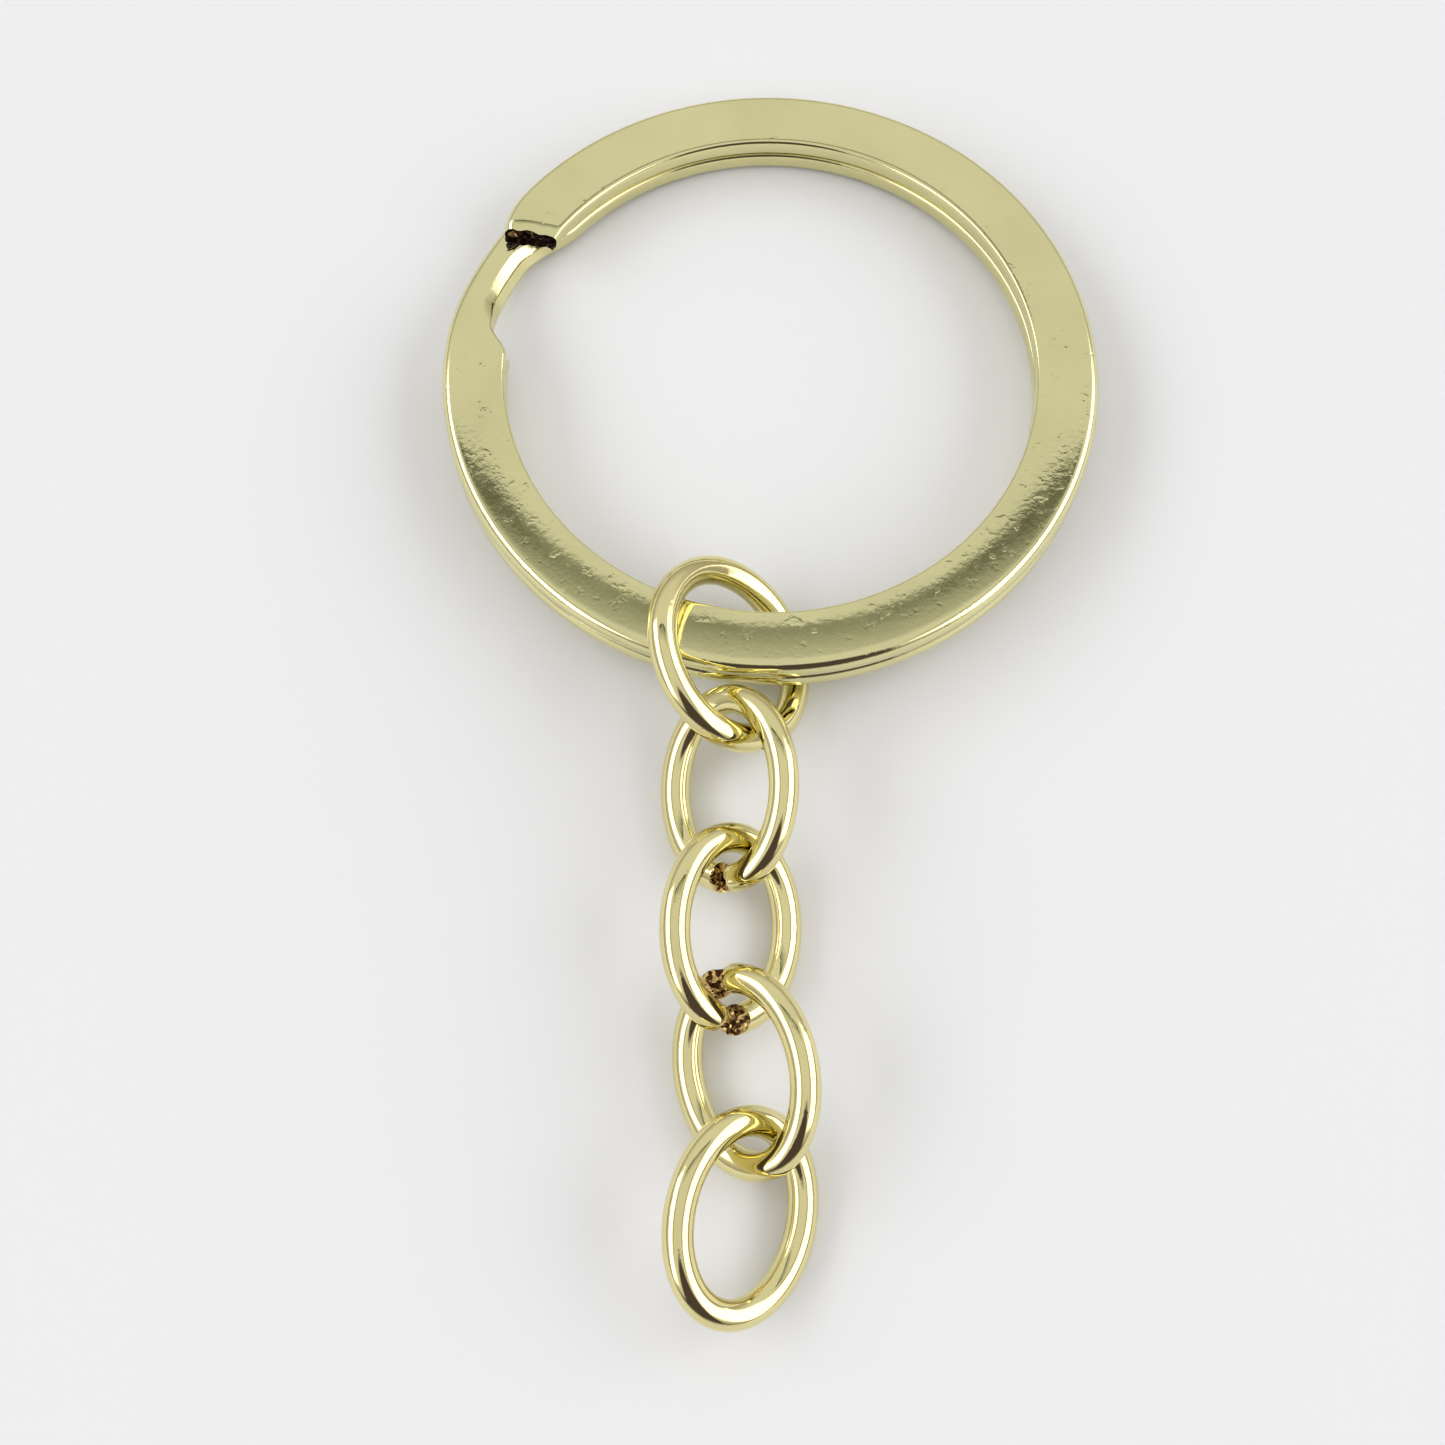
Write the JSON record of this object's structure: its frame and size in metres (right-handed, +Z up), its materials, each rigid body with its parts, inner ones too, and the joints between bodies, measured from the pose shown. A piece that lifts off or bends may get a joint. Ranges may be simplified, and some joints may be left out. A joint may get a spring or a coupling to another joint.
{
  "type": "split key ring",
  "caption": "Flat-strip split ring whose free end springs open to take keys, with a short chain of open oval wire links that ends in a free link for a charm or tag.",
  "frame": {"origin": "middle of the underside of the whole object's box, on the surface that it lies on", "axes": "+Y along the object from the last link towards the ring, +X to the right, +Z up out of the surface"},
  "size_m": [0.03, 0.0572, 0.006],
  "materials": {
    "ring_strip": "satin polished, pale yellow gold plated, fine scratches",
    "link_wire": "bright polished, pale yellow gold plated"
  },
  "bodies": {
    "ring": {"ring_coil": "ring_strip"},
    "ring_free_end": {"ring_free_end": "ring_strip"},
    "link_1": {"link_1": "link_wire"},
    "link_2": {"link_2": "link_wire"},
    "link_3": {"link_3": "link_wire"},
    "link_4": {"link_4": "link_wire"},
    "link_5": {"link_5": "link_wire"}
  },
  "joints": [
    {"name": "ring_opening", "type": "hinge", "parent": "ring", "child": "ring_free_end", "pos_m": [0.01258, 0.0054, 0.00237], "axis": [-0.5446, -0.8372, 0.0497], "range_deg": [-6, 0], "stiffness_Nm_per_rad": 2.4},
    {"name": "link_1_travel", "type": "hinge", "parent": "ring", "child": "link_1", "pos_m": [0, 0.0135, 0.00088], "axis": [0, -0.0593, -0.9982], "continuous": true},
    {"name": "link_2_swing", "type": "hinge", "parent": "link_1", "child": "link_2", "pos_m": [-0.00085, -0.00403, 0.00261], "axis": [0.7336, 0.2647, -0.6259], "range_deg": [-90, 45]},
    {"name": "link_3_swing", "type": "hinge", "parent": "link_2", "child": "link_3", "pos_m": [-0.00182, -0.01007, 0.00204], "axis": [0.8, -0.042, 0.5985], "range_deg": [-90, 90]},
    {"name": "link_4_swing", "type": "hinge", "parent": "link_3", "child": "link_4", "pos_m": [-0.00214, -0.01612, 0.00236], "axis": [0.8059, -0.0705, -0.5878], "range_deg": [-90, 90]},
    {"name": "link_5_swing", "type": "hinge", "parent": "link_4", "child": "link_5", "pos_m": [-0.00038, -0.02208, 0.00241], "axis": [0.7782, 0.1797, 0.6018], "range_deg": [-60, 90]}
  ]
}
